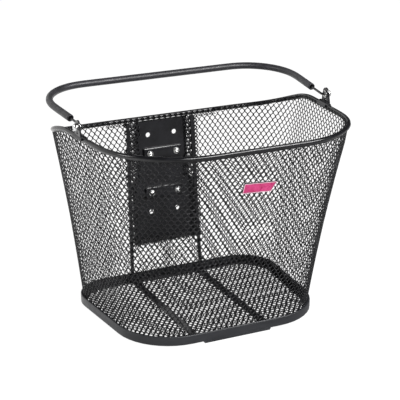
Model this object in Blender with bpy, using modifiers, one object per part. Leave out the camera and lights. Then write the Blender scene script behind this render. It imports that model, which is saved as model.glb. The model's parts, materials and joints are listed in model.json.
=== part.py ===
"""Handlebar basket: tapered wire-mesh basket with a hinged carrying handle.

World frame: +X to the rider's right hand seen from the front wall, -Y is the front wall (the
one with the badge), +Y is the bicycle side (the one with the back plate), +Z is up.
The origin is the bottom centre of the bounding box, on the ground.
"""

import math

import bmesh
import bpy
from mathutils import Matrix, Vector

MM = 0.001
GAP = 0.3 * MM                     # clearance between neighbouring pieces

# Plan outlines: half widths, ends and corner radii of the rounded four-sided plan
BASE_PLAN = {"half_back": 142.2 * MM, "half_front": 125.8 * MM, "y_back": 114.8 * MM,
             "y_front": -95.7 * MM, "r_back": 47 * MM, "r_front": 70.9 * MM}
RIM_PLAN = {"half_back": 175 * MM, "half_front": 154.5 * MM, "y_back": 129.2 * MM,
            "y_front": -147.2 * MM, "r_back": 68.3 * MM, "r_front": 103 * MM}
ARC_STEPS = 10                     # chords in each round corner
STRAIGHT_STEPS = 5                 # chords in each straight side

# Rim wire: level round the front and the sides, then down to the back wall
RIM_RADIUS = 2.75 * MM
RIM_FRONT_Z = 253.8 * MM
SIDE_DROP = 2 * MM                 # sides below the front
SIDE_RUN = 108 * MM                # length over which that happens
BACK_DROP = 33.2 * MM
BACK_DROP_START = 27 * MM
BACK_DROP_RUN = 125 * MM

# Base ring, with the mesh wall standing inside it
RING_BOTTOM = 2.3 * MM             # its feet are this much lower
RING_TOP = 13.8 * MM
RING_EDGE = 0.6 * MM               # broken edges along its top and bottom
RING_WALL = 2.4 * MM
LEDGE_TOP = RING_BOTTOM + 1.5 * MM
LEDGE_WIDTH = 8.5 * MM             # from the ring's outer face
FOOT_HALF = 44.5 * MM
FOOT_DEPTH = 5 * MM
FOOT_SLOPE = 1.5 * MM              # lean of the feet's ends

# Mesh wall and floor
WALL_THICK = 1.6 * MM
WALL_INSET = RING_WALL + GAP + WALL_THICK / 2
WALL_HOLLOW = 0.065                # inward curve of sides and corners, as a share of their flare
HOLLOW_START = 60 * MM             # half width of the flat middle of the front and back walls
HOLLOW_RUN = 60 * MM
WALL_STEPS = 4                     # chords up the curved wall
FLOOR_THICK = 1.4 * MM
FLOOR_INSET = WALL_INSET + WALL_THICK / 2 + GAP
STAY_X = {"left": -52 * MM, "right": 42 * MM}
STAY_WIDTH = 10 * MM
STAY_THICK = 1.2 * MM

# Back wall: uprights, plate, clamp bars, bolts and the adapter behind it
UPRIGHT_X = {"left": -50 * MM, "right": 45.5 * MM}
UPRIGHT_LEAN = math.radians(1.2)   # the two come closer towards the rim
UPRIGHT_WIDTH = 4.4 * MM
UPRIGHT_THICK = 2 * MM
PLATE_THICK = 1.5 * MM
PLATE_TOP = 217.5 * MM
PLATE_STEP = 135.1 * MM            # height where the plate becomes wide
PLATE_BOTTOM = 52 * MM
PLATE_HALF_NARROW = 36.7 * MM
PLATE_HALF_WIDE = 44.4 * MM
WINDOW_LAP = 3.5 * MM              # overlap of the plate on the mesh round the window
BOLT_X = 18.7 * MM
ROW_HEIGHTS = {"top": 198.3 * MM, "upper": 173.5 * MM, "lower": 120.8 * MM, "bottom": 94.5 * MM}
OPEN_HOLE_RADIUS = 3.2 * MM
BOLT_RADIUS = 2 * MM
BOLT_HOLE_RADIUS = 2.4 * MM
BAR_HALF = 27 * MM
BAR_HEIGHT = 15.5 * MM
BAR_DEPTH = 4 * MM
BAR_WALL = 1.4 * MM
HEAD_RADIUS = 3.6 * MM
HEAD_HEIGHT = 2.3 * MM
SOCKET_RADIUS = 1.3 * MM
SOCKET_DEPTH = 1.4 * MM
BOLT_WASHER_RADIUS = 4.3 * MM
WASHER_THICK = 0.8 * MM
NUT_RADIUS = 4.04 * MM             # across the corners, halved
NUT_THICK = 3.2 * MM
NUT_SEAT = 5 * MM                  # from the adapter's front face to the nut

ADAPTER_HALF = 32 * MM
ADAPTER_TOP = 189 * MM
ADAPTER_BOTTOM = 104 * MM
ADAPTER_BACK_Y = 138 * MM
HOOK_BACK_Y = -(RIM_PLAN["y_front"] - RIM_RADIUS)
HOOK_X = 27.5 * MM
HOOK_WIDTH = 7 * MM
HOOK_THICK = 5 * MM
HOOK_DROP = 20 * MM
CATCH_HALF = 10 * MM
CATCH_DEPTH = 6 * MM

# Badge on the front wall
BADGE_X = 2.2 * MM
BADGE_Z = 206.7 * MM
BADGE_HALF = 20 * MM
BADGE_HEIGHT = 12.9 * MM
BADGE_THICK = 2 * MM
BADGE_BORDER = 0.9 * MM
BADGE_SLANT = (0.3 * MM, 2.8 * MM) # lean of the left and the right end
BADGE_TILT = math.radians(4)
PIN_X = 12 * MM
PIN_RADIUS = 1.4 * MM
CLIP_HALF = 16.5 * MM
CLIP_HEIGHT = 8 * MM
CLIP_THICK = 1.2 * MM

# Handle
PIVOT_Y = -8.8 * MM
PIVOT_Z = 265.4 * MM
HANDLE_REACH = 145.7 * MM
HANDLE_LIFT = math.radians(3.7)    # above horizontal, folded back
HANDLE_HALF = 173.7 * MM           # where the lines of arm and crossbar meet
HANDLE_CORNER = 62.4 * MM
HANDLE_WIRE_RADIUS = 1.5 * MM
SLEEVE_RADIUS = 4.45 * MM
SLEEVE_WALL = 1.6 * MM
SLEEVE_START = 31 * MM             # bare wire between the pivot and the sleeve
END_BEND = 2.4 * MM                # bend radius of the wire's ends
CORNER_STEPS = 9
LUG_THICK = 2 * MM
LUG_OFFSET = 2.4 * MM              # lug's middle, outward of the rim wire's middle
LUG_RADIUS = 6.2 * MM
LUG_CROWN = 2 * MM                 # centre of the lug's round top, above the eye
EYE_HOLE = 1.9 * MM
HANDLE_WASHER_RADIUS = 4.6 * MM
SADDLE_HALF = 11 * MM
SADDLE_INNER = RIM_RADIUS + GAP
SADDLE_OUTER = SADDLE_INNER + 1.7 * MM
CAP_RADIUS = 4.6 * MM
CAP_DEPTH = 3.8 * MM
CAP_WALL = 0.9 * MM

ROUND_STEPS = 16                   # sides of small turned pieces and holes

for old in list(bpy.data.objects):
    bpy.data.objects.remove(old, do_unlink=True)

PARTS = bpy.data.collections.new("handlebar_basket")
CUTTERS = bpy.data.collections.new("cutters")
bpy.context.scene.collection.children.link(PARTS)
bpy.context.scene.collection.children.link(CUTTERS)


# ---------------------------------------------------------------- materials

def make_material(name, color, roughness, metallic):
    material = bpy.data.materials.new(name)
    material.use_nodes = True
    shader = material.node_tree.nodes["Principled BSDF"]
    shader.inputs["Base Color"].default_value = (*color, 1)
    shader.inputs["Roughness"].default_value = roughness
    shader.inputs["Metallic"].default_value = metallic
    return material


BLACK_COAT = make_material("black_powder_coat", (0.022, 0.023, 0.026), 0.42, 0.0)
BLACK_PLASTIC = make_material("black_plastic", (0.035, 0.036, 0.04), 0.5, 0.0)
BLACK_VINYL = make_material("black_vinyl_sleeve", (0.03, 0.03, 0.034), 0.38, 0.0)
ZINC = make_material("zinc_plated_steel", (0.72, 0.73, 0.75), 0.28, 1.0)
BADGE_PINK = make_material("pink_badge", (0.78, 0.03, 0.2), 0.35, 0.0)


# ---------------------------------------------------------------- modelling helpers

def add_object(name, data, material, collection=PARTS):
    obj = bpy.data.objects.new(name, data)
    collection.objects.link(obj)
    if material is not None:
        data.materials.append(material)
    return obj


def add_empty(name, matrix):
    empty = bpy.data.objects.new(name, None)
    empty.matrix_world = matrix
    PARTS.objects.link(empty)
    return empty


def place(obj, matrix, parent=None):
    """Put obj at matrix, counted in parent's frame if it has one."""
    obj.parent = parent
    obj.matrix_local = matrix
    return obj


def as_cutter(obj):
    PARTS.objects.unlink(obj)
    CUTTERS.objects.link(obj)
    obj.hide_render = True
    obj.display_type = 'WIRE'
    return obj


def boolean(obj, tool, operation):
    modifier = obj.modifiers.new(operation.lower(), 'BOOLEAN')
    modifier.operation = operation
    modifier.solver = 'EXACT'
    modifier.object = as_cutter(tool)


def add_spline(curve, points, closed):
    spline = curve.splines.new('POLY')
    spline.points.add(len(points) - 1)
    for target, point in zip(spline.points, points):
        target.co = (*point, 1)
    spline.use_cyclic_u = closed


def wire(name, points, radius, material, closed=False, caps=True, sides=2):
    """Round wire or tube along 3D points."""
    curve = bpy.data.curves.new(name, 'CURVE')
    curve.dimensions = '3D'
    curve.bevel_depth = radius
    curve.bevel_resolution = sides
    curve.use_fill_caps = caps
    add_spline(curve, points, closed)
    return add_object(name, curve, material)


def flat_piece(name, loops, thickness, material):
    """Flat plate in its local XY plane: the first loop is its outline, the others are holes."""
    curve = bpy.data.curves.new(name, 'CURVE')
    curve.dimensions = '2D'
    curve.fill_mode = 'BOTH'
    curve.extrude = thickness / 2
    for loop in loops:
        add_spline(curve, [(x, y, 0) for x, y in loop], True)
    return add_object(name, curve, material)


def as_mesh(obj):
    """Swap a curve object for a mesh object with welded caps, so that it can be cut or joined."""
    bpy.context.view_layer.update()
    evaluated = obj.evaluated_get(bpy.context.evaluated_depsgraph_get())
    mesh = bpy.data.meshes.new_from_object(evaluated)
    welded = bmesh.new()
    welded.from_mesh(mesh)
    bmesh.ops.remove_doubles(welded, verts=welded.verts, dist=0.001 * MM)
    bmesh.ops.recalc_face_normals(welded, faces=welded.faces)
    welded.to_mesh(mesh)
    welded.free()
    name, world = obj.name, obj.matrix_world.copy()
    bpy.data.objects.remove(obj, do_unlink=True)
    solid = add_object(name, mesh, None)
    solid.matrix_world = world
    return solid


def turned_piece(name, profile, material, closed=False):
    """Piece turned about its local Z axis from (radius, height) points, listed from its top down."""
    mesh = bpy.data.meshes.new(name)
    edges = [(i, i + 1) for i in range(len(profile) - 1)]
    if closed:
        edges.append((len(profile) - 1, 0))
    mesh.from_pydata([(r, 0, z) for r, z in profile], edges, [])
    obj = add_object(name, mesh, material)
    screw = obj.modifiers.new("turn", 'SCREW')
    screw.steps = ROUND_STEPS
    screw.render_steps = ROUND_STEPS
    screw.use_merge_vertices = True
    screw.merge_threshold = 0.00001
    return obj


def block(name, size, material):
    """Rectangular block with its origin at its centre."""
    mesh = bpy.data.meshes.new(name)
    shape = bmesh.new()
    bmesh.ops.create_cube(shape, size=1, matrix=Matrix.Diagonal((*size, 1)))
    shape.to_mesh(mesh)
    shape.free()
    return add_object(name, mesh, material)


def prism(name, radius, depth, sides):
    """Regular prism or cylinder along local Z, for cutting."""
    mesh = bpy.data.meshes.new(name)
    shape = bmesh.new()
    bmesh.ops.create_cone(shape, cap_ends=True, segments=sides, radius1=radius, radius2=radius,
                          depth=depth)
    shape.to_mesh(mesh)
    shape.free()
    return add_object(name, mesh, None)


def circle(x, y, radius, steps=ROUND_STEPS):
    return [(x + radius * math.cos(math.tau * i / steps), y + radius * math.sin(math.tau * i / steps))
            for i in range(steps)]


def chamfered_box(x0, y0, x1, y1, cut):
    """Corners of a rectangle with its four corners cut off."""
    return [(x0 + cut, y0), (x1 - cut, y0), (x1, y0 + cut), (x1, y1 - cut),
            (x1 - cut, y1), (x0 + cut, y1), (x0, y1 - cut), (x0, y0 + cut)]


def move(x, y, z):
    return Matrix.Translation((x, y, z))


FLAT_TO_XZ = Matrix.Rotation(math.radians(90), 4, 'X')     # plate in XZ, its top face to -Y
FLAT_TO_YZ = Matrix(((0, 0, 1, 0), (1, 0, 0, 0), (0, 1, 0, 0), (0, 0, 0, 1)))


# ---------------------------------------------------------------- the basket's shape

def ease(t):
    """Smooth step from 0 to 1."""
    t = min(max(t, 0), 1)
    return t * t * (3 - 2 * t)


def corner_arc(before, corner, after, radius, steps):
    """Points of the round corner between two straight lines in the plane."""
    to_last = (before - corner).normalized()
    to_next = (after - corner).normalized()
    half_angle = to_last.angle(to_next) / 2
    centre = corner + (to_last + to_next).normalized() * radius / math.sin(half_angle)
    start = corner + to_last * radius / math.tan(half_angle) - centre
    sweep = math.pi - 2 * half_angle
    return [centre + Matrix.Rotation(sweep * k / steps, 2) @ start for k in range(steps + 1)]


def rounded_plan(plan, inset=0.0):
    """Points round a four-sided plan with round corners, anticlockwise seen from above."""
    half_front = plan["half_front"] - inset
    half_back = plan["half_back"] - inset
    y_front = plan["y_front"] + inset
    y_back = plan["y_back"] - inset
    corners = [Vector((-half_front, y_front)), Vector((half_front, y_front)),
               Vector((half_back, y_back)), Vector((-half_back, y_back))]
    radii = [plan["r_front"] - inset] * 2 + [plan["r_back"] - inset] * 2
    arcs = [corner_arc(corners[i - 1], corners[i], corners[(i + 1) % 4], radii[i], ARC_STEPS)
            for i in range(4)]
    points = []
    for i, arc in enumerate(arcs):
        points += arc
        leave, arrive = arc[-1], arcs[(i + 1) % 4][0]
        points += [leave.lerp(arrive, k / STRAIGHT_STEPS) for k in range(1, STRAIGHT_STEPS)]
    return points


def rim_height(y):
    """Height of the rim wire's middle at y."""
    from_front = y - RIM_PLAN["y_front"]
    return (RIM_FRONT_Z - SIDE_DROP * ease(from_front / SIDE_RUN)
            - BACK_DROP * ease((y - BACK_DROP_START) / BACK_DROP_RUN))


def loft(name, rings, material, closed_section):
    """Skin over rings of equal point counts; closed_section joins the last ring to the first."""
    mesh = bpy.data.meshes.new(name)
    skin = bmesh.new()
    rows = [[skin.verts.new(point) for point in ring] for ring in rings]
    count = len(rings[0])
    pairs = list(zip(rows, rows[1:]))
    if closed_section:
        pairs.append((rows[-1], rows[0]))
    for low, high in pairs:
        for i in range(count):
            j = (i + 1) % count
            skin.faces.new((low[i], low[j], high[j], high[i]))
    skin.to_mesh(mesh)
    skin.free()
    return add_object(name, mesh, material)


RIM_POINTS = [(p.x, p.y, rim_height(p.y)) for p in rounded_plan(RIM_PLAN)]
BACK_LOW = Vector((BASE_PLAN["y_back"] - WALL_INSET, RING_TOP))
BACK_HIGH = Vector((RIM_PLAN["y_back"], rim_height(RIM_PLAN["y_back"]) - RIM_RADIUS - GAP))
FRONT_LOW = Vector((BASE_PLAN["y_front"] + WALL_INSET, RING_TOP))
FRONT_HIGH = Vector((RIM_PLAN["y_front"], RIM_FRONT_Z - RIM_RADIUS - GAP))
BACK_TILT = math.atan2(BACK_HIGH.x - BACK_LOW.x, BACK_HIGH.y - BACK_LOW.y)
FRONT_TILT = math.atan2(FRONT_LOW.x - FRONT_HIGH.x, FRONT_HIGH.y - FRONT_LOW.y)


def back_y(z):
    """Middle of the back wall at height z."""
    return BACK_LOW.x + (z - BACK_LOW.y) * math.tan(BACK_TILT)


def front_y(z):
    """Middle of the front wall at height z."""
    return FRONT_LOW.x - (z - FRONT_LOW.y) * math.tan(FRONT_TILT)


def make_rim():
    return wire("rim_wire", RIM_POINTS, RIM_RADIUS, BLACK_COAT, closed=True, sides=3)


def wall_point(low, high, t):
    """Point a share t of the way up the wall; sides and corners curve inward a little."""
    hollow = WALL_HOLLOW * ease((abs(low[0]) - HOLLOW_START) / HOLLOW_RUN)
    flare = t - hollow * math.sin(math.pi * t)
    return (low[0] + (high[0] - low[0]) * flare, low[1] + (high[1] - low[1]) * flare,
            RING_TOP + (high[2] - RIM_RADIUS - GAP - RING_TOP) * t)


def make_wall():
    """Flared shell with an open top, standing on the ledge inside the base ring."""
    low = rounded_plan(BASE_PLAN, WALL_INSET)
    rings = [[(p.x, p.y, LEDGE_TOP + GAP) for p in low]]
    rings += [[wall_point(p, top, k / WALL_STEPS) for p, top in zip(low, RIM_POINTS)]
              for k in range(WALL_STEPS + 1)]
    wall = loft("wall_mesh", rings, BLACK_COAT, closed_section=False)
    shell = wall.modifiers.new("thickness", 'SOLIDIFY')
    shell.thickness = WALL_THICK
    shell.offset = 0
    cut_depth = 12 * MM
    spans = [(PLATE_HALF_WIDE, PLATE_BOTTOM, PLATE_STEP), (PLATE_HALF_NARROW, PLATE_STEP, PLATE_TOP)]
    for index, (half, bottom, top) in enumerate(spans):
        low_cut = bottom + (WINDOW_LAP if index == 0 else -2 * WINDOW_LAP)
        high_cut = top - WINDOW_LAP
        middle = (low_cut + high_cut) / 2
        window = block(f"window_{index}", (2 * (half - WINDOW_LAP), 2 * cut_depth, high_cut - low_cut),
                       None)
        place(window, move(0, back_y(middle), middle))
        boolean(wall, window, 'DIFFERENCE')
    return wall


def make_floor():
    """Flat floor panel lying on the base ring's ledge, inside the wall."""
    outline = rounded_plan(BASE_PLAN, FLOOR_INSET)
    floor = flat_piece("floor_mesh", [outline], FLOOR_THICK, BLACK_COAT)
    place(floor, move(0, 0, LEDGE_TOP + GAP + FLOOR_THICK / 2))


def make_floor_stays():
    """Two flat stiffening strips on the floor, from front to back."""
    base_z = LEDGE_TOP + 2 * GAP + FLOOR_THICK + STAY_THICK / 2
    y_front = BASE_PLAN["y_front"] + FLOOR_INSET + GAP
    y_back = BASE_PLAN["y_back"] - FLOOR_INSET - GAP
    for side, x in STAY_X.items():
        stay = block(f"floor_stay_{side}", (STAY_WIDTH, y_back - y_front, STAY_THICK), BLACK_COAT)
        place(stay, move(x, (y_front + y_back) / 2, base_z))


def make_base_ring():
    """Moulded ring round the base: upright band, ledge for wall and floor, front and back feet."""
    section = [(0, RING_BOTTOM + RING_EDGE), (0, RING_TOP - RING_EDGE), (RING_EDGE, RING_TOP),
               (RING_WALL, RING_TOP), (RING_WALL, LEDGE_TOP), (LEDGE_WIDTH, LEDGE_TOP),
               (LEDGE_WIDTH, RING_BOTTOM), (RING_EDGE, RING_BOTTOM)]
    rings = [[(p.x, p.y, z) for p in rounded_plan(BASE_PLAN, inset)] for inset, z in section]
    ring = loft("base_ring", rings, BLACK_PLASTIC, closed_section=True)
    proud = 0.3 * MM
    top = RING_BOTTOM + 1 * MM
    outline = [(-FOOT_HALF, 0), (FOOT_HALF, 0), (FOOT_HALF + FOOT_SLOPE, top),
               (-FOOT_HALF - FOOT_SLOPE, top)]
    for side, sign in (("front", -1), ("back", 1)):
        foot = as_mesh(flat_piece(f"foot_{side}", [outline], FOOT_DEPTH, None))
        y_outer = BASE_PLAN[f"y_{side}"] + sign * proud
        place(foot, move(0, y_outer - sign * FOOT_DEPTH / 2, 0) @ FLAT_TO_XZ)
        boolean(ring, foot, 'UNION')
    return ring


# ---------------------------------------------------------------- back plate and its fastenings

def frame_on_back(z, outward):
    """Frame on the back wall at height z: local Y points outward, local Z up the wall."""
    turn = Matrix.Rotation(-BACK_TILT, 4, 'X')
    return move(0, back_y(z), z) @ turn @ move(0, outward, 0)


PLATE_OUTWARD = WALL_THICK / 2 + GAP + PLATE_THICK / 2


def make_uprights():
    """Flat bars on the inside of the back wall, from the base ring to the rim."""
    low = RING_TOP + 4 * GAP
    high = BACK_HIGH.y - 3 * GAP
    inward = -(WALL_THICK / 2 + GAP + UPRIGHT_THICK / 2)
    length = (high - low) / math.cos(BACK_TILT)
    frame = frame_on_back((low + high) / 2, inward)
    for side, x in UPRIGHT_X.items():
        bar = block(f"back_upright_{side}", (UPRIGHT_WIDTH, UPRIGHT_THICK, length), BLACK_COAT)
        lean = Matrix.Rotation(-math.copysign(UPRIGHT_LEAN, x), 4, 'Y')
        place(bar, frame @ move(x, 0, 0) @ lean)


def make_back_plate(frame, frame_z):
    """Steel plate over the window in the back wall, with four rows of two holes."""
    def up(z):
        return (z - frame_z) / math.cos(BACK_TILT)
    corner = 3 * MM
    wide, narrow, step = PLATE_HALF_WIDE, PLATE_HALF_NARROW, up(PLATE_STEP)
    right = [(wide - corner, up(PLATE_BOTTOM)), (wide, up(PLATE_BOTTOM) + corner),
             (wide, step - corner), (wide - corner, step), (narrow, step + corner),
             (narrow, up(PLATE_TOP))]
    outline = right + [(-x, y) for x, y in reversed(right)]
    loops = [outline]
    for row, z in ROW_HEIGHTS.items():
        radius = OPEN_HOLE_RADIUS if row in ("top", "bottom") else BOLT_HOLE_RADIUS
        loops += [circle(sign * BOLT_X, up(z), radius) for sign in (-1, 1)]
    plate = flat_piece("back_plate", loops, PLATE_THICK, BLACK_COAT)
    place(plate, FLAT_TO_XZ, frame)


def make_clamp_bar(row, frame, height):
    """Raised pressed bar under a pair of bolt heads, hollow towards the plate."""
    face = -(PLATE_THICK / 2 + GAP)
    bar = block(f"clamp_bar_{row}", (2 * BAR_HALF, BAR_DEPTH, BAR_HEIGHT), BLACK_COAT)
    place(bar, move(0, face - BAR_DEPTH / 2, height), frame)
    edges = bar.modifiers.new("edges", 'BEVEL')
    edges.width = 2 * MM
    edges.segments = 2
    hollow = block(f"clamp_bar_{row}_hollow",
                   (2 * (BAR_HALF - BAR_WALL), BAR_DEPTH, BAR_HEIGHT - 2 * BAR_WALL), None)
    place(hollow, move(0, face - BAR_DEPTH / 2 + BAR_WALL, height), frame)
    boolean(bar, hollow, 'DIFFERENCE')
    for index, sign in enumerate((-1, 1)):
        hole = prism(f"clamp_bar_{row}_hole_{index}", BOLT_HOLE_RADIUS, 3 * BAR_DEPTH, ROUND_STEPS)
        place(hole, move(sign * BOLT_X, face, height) @ FLAT_TO_XZ, frame)
        boolean(bar, hole, 'DIFFERENCE')


def make_bolt_set(row, side, x, frame, height):
    """Domed bolt, washer and nut; local Z of each points into the basket."""
    seat = PLATE_THICK / 2 + GAP + BAR_DEPTH + GAP          # washer's back face, inward of the plate
    under_head = seat + WASHER_THICK + GAP
    adapter_face = PLATE_THICK / 2 + GAP
    nut_face = adapter_face + NUT_SEAT + GAP
    shank = under_head + nut_face + NUT_THICK + 0.6 * MM
    head = [(HEAD_RADIUS * math.sin(angle), HEAD_HEIGHT * math.cos(angle))
            for angle in (math.radians(15 * k) for k in range(7))]
    profile = head + [(BOLT_RADIUS, 0), (BOLT_RADIUS, -shank), (0, -shank)]
    bolt = turned_piece(f"plate_bolt_{row}_{side}", profile, ZINC)
    at_axis = move(x, 0, height)
    place(bolt, at_axis @ move(0, -under_head, 0) @ FLAT_TO_XZ, frame)
    socket = prism(f"socket_{row}_{side}", SOCKET_RADIUS, 2 * SOCKET_DEPTH, 6)
    place(socket, at_axis @ move(0, -under_head - HEAD_HEIGHT, 0) @ FLAT_TO_XZ, frame)
    boolean(bolt, socket, 'DIFFERENCE')
    washer = flat_piece(f"plate_washer_{row}_{side}",
                        [circle(0, 0, BOLT_WASHER_RADIUS), circle(0, 0, BOLT_HOLE_RADIUS)],
                        WASHER_THICK, ZINC)
    place(washer, at_axis @ move(0, -seat - WASHER_THICK / 2, 0) @ FLAT_TO_XZ, frame)
    nut = flat_piece(f"plate_nut_{row}_{side}",
                     [circle(0, 0, NUT_RADIUS, 6), circle(0, 0, BOLT_HOLE_RADIUS)],
                     NUT_THICK, ZINC)
    place(nut, at_axis @ move(0, nut_face + NUT_THICK / 2, 0) @ FLAT_TO_XZ, frame)


def make_adapter(frame, frame_z):
    """Moulded wedge bolted behind the plate: upright back face, two hooks and a catch."""
    def front(z):
        along = (z - frame_z) / math.cos(BACK_TILT)
        return (frame @ Vector((0, PLATE_THICK / 2 + GAP, along)))
    top, bottom = front(ADAPTER_TOP), front(ADAPTER_BOTTOM)
    edge = 3 * MM
    outline = [(bottom.y, bottom.z), (ADAPTER_BACK_Y - edge, bottom.z),
               (ADAPTER_BACK_Y, bottom.z + edge), (ADAPTER_BACK_Y, top.z), (top.y, top.z)]
    adapter = as_mesh(flat_piece("rear_adapter", [outline], 2 * ADAPTER_HALF, None))
    adapter.data.materials.append(BLACK_PLASTIC)
    place(adapter, FLAT_TO_YZ)
    root = ADAPTER_BACK_Y - 2 * MM
    hook_top = ADAPTER_TOP - 1 * MM
    hook = [(root, hook_top - HOOK_THICK), (HOOK_BACK_Y - HOOK_THICK, hook_top - HOOK_THICK),
            (HOOK_BACK_Y - HOOK_THICK, hook_top - HOOK_DROP), (HOOK_BACK_Y, hook_top - HOOK_DROP),
            (HOOK_BACK_Y, hook_top), (root, hook_top)]
    for side, sign in (("left", -1), ("right", 1)):
        part = as_mesh(flat_piece(f"adapter_hook_{side}", [hook], HOOK_WIDTH, None))
        place(part, move(sign * HOOK_X, 0, 0) @ FLAT_TO_YZ)
        boolean(adapter, part, 'UNION')
    low = ADAPTER_BOTTOM + 4 * MM
    catch = [(root, low), (ADAPTER_BACK_Y + CATCH_DEPTH, low + 2 * MM),
             (ADAPTER_BACK_Y + CATCH_DEPTH, low + 5 * MM), (root, low + 9 * MM)]
    part = as_mesh(flat_piece("adapter_catch", [catch], 2 * CATCH_HALF, None))
    place(part, FLAT_TO_YZ)
    boolean(adapter, part, 'UNION')
    pocket_depth = 40 * MM
    pocket_start = PLATE_THICK / 2 + GAP + NUT_SEAT
    for row in ("upper", "lower"):
        height = (ROW_HEIGHTS[row] - frame_z) / math.cos(BACK_TILT)
        for index, sign in enumerate((-1, 1)):
            bore = prism(f"adapter_bore_{row}_{index}", BOLT_HOLE_RADIUS, 60 * MM, ROUND_STEPS)
            place(bore, frame @ move(sign * BOLT_X, 0, height) @ FLAT_TO_XZ)
            boolean(adapter, bore, 'DIFFERENCE')
            pocket = prism(f"adapter_pocket_{row}_{index}", NUT_RADIUS + 2 * GAP, pocket_depth, 6)
            turn_flats = Matrix.Rotation(math.radians(90), 4, 'Z')
            place(pocket, frame @ move(sign * BOLT_X, pocket_start + pocket_depth / 2, height)
                  @ FLAT_TO_XZ @ turn_flats)
            boolean(adapter, pocket, 'DIFFERENCE')


def make_back_assembly():
    frame_z = ROW_HEIGHTS["lower"]
    frame_matrix = frame_on_back(frame_z, PLATE_OUTWARD)
    frame = add_empty("back_plate_frame", frame_matrix)
    make_uprights()
    make_back_plate(frame, frame_z)
    for row in ("upper", "lower"):
        height = (ROW_HEIGHTS[row] - frame_z) / math.cos(BACK_TILT)
        make_clamp_bar(row, frame, height)
        for side, sign in (("left", -1), ("right", 1)):
            make_bolt_set(row, side, sign * BOLT_X, frame, height)
    make_adapter(frame_matrix, frame_z)


# ---------------------------------------------------------------- badge

def badge_outline(shrink):
    """Slanted four-sided outline, its two ends leaning by different amounts."""
    half, height = BADGE_HALF - shrink, BADGE_HEIGHT / 2 - shrink
    left, right = BADGE_SLANT
    return [(-half - left, -height), (half - right, -height), (half + right, height),
            (-half + left, height)]


def make_badge(wall):
    """Blank badge with two pins through the front wall, and the clip strip behind it."""
    turn = Matrix.Rotation(FRONT_TILT, 4, 'X') @ Matrix.Rotation(BADGE_TILT, 4, 'Y')
    frame = add_empty("badge_frame", move(BADGE_X, front_y(BADGE_Z), BADGE_Z) @ turn)
    face = WALL_THICK / 2 + GAP
    badge = as_mesh(flat_piece("badge", [badge_outline(0)], BADGE_THICK, None))
    badge.data.materials.append(BADGE_PINK)
    place(badge, move(0, -face - BADGE_THICK / 2, 0) @ FLAT_TO_XZ, frame)
    recess = as_mesh(flat_piece("badge_recess", [badge_outline(BADGE_BORDER)], BADGE_THICK, None))
    place(recess, move(0, -face - BADGE_THICK * 1.25, 0) @ FLAT_TO_XZ, frame)
    boolean(badge, recess, 'DIFFERENCE')
    pin_length = 2 * face + BADGE_THICK / 2 + CLIP_THICK
    for index, sign in enumerate((-1, 1)):
        pin = prism(f"badge_pin_{index}", PIN_RADIUS, pin_length, ROUND_STEPS)
        place(pin, move(sign * PIN_X, -face - BADGE_THICK / 2 + pin_length / 2, 0) @ FLAT_TO_XZ, frame)
        boolean(badge, pin, 'UNION')
        hole = prism(f"wall_pin_hole_{index}", PIN_RADIUS + 2 * GAP, 8 * MM, ROUND_STEPS)
        place(hole, move(sign * PIN_X, 0, 0) @ FLAT_TO_XZ, frame)
        boolean(wall, hole, 'DIFFERENCE')
    loops = [chamfered_box(-CLIP_HALF, -CLIP_HEIGHT / 2, CLIP_HALF, CLIP_HEIGHT / 2, 1.5 * MM)]
    loops += [circle(sign * PIN_X, 0, PIN_RADIUS + GAP) for sign in (-1, 1)]
    clip = flat_piece("badge_clip", loops, CLIP_THICK, BLACK_PLASTIC)
    place(clip, move(0, face + CLIP_THICK / 2, 0) @ FLAT_TO_XZ, frame)


# ---------------------------------------------------------------- handle and its brackets

def rim_side_x(y):
    """Middle of the rim wire beside the pivot, on its straight right side."""
    plan = RIM_PLAN
    t = (y - plan["y_front"]) / (plan["y_back"] - plan["y_front"])
    return plan["half_front"] + (plan["half_back"] - plan["half_front"]) * t


LUG_X = rim_side_x(PIVOT_Y) + LUG_OFFSET


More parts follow.
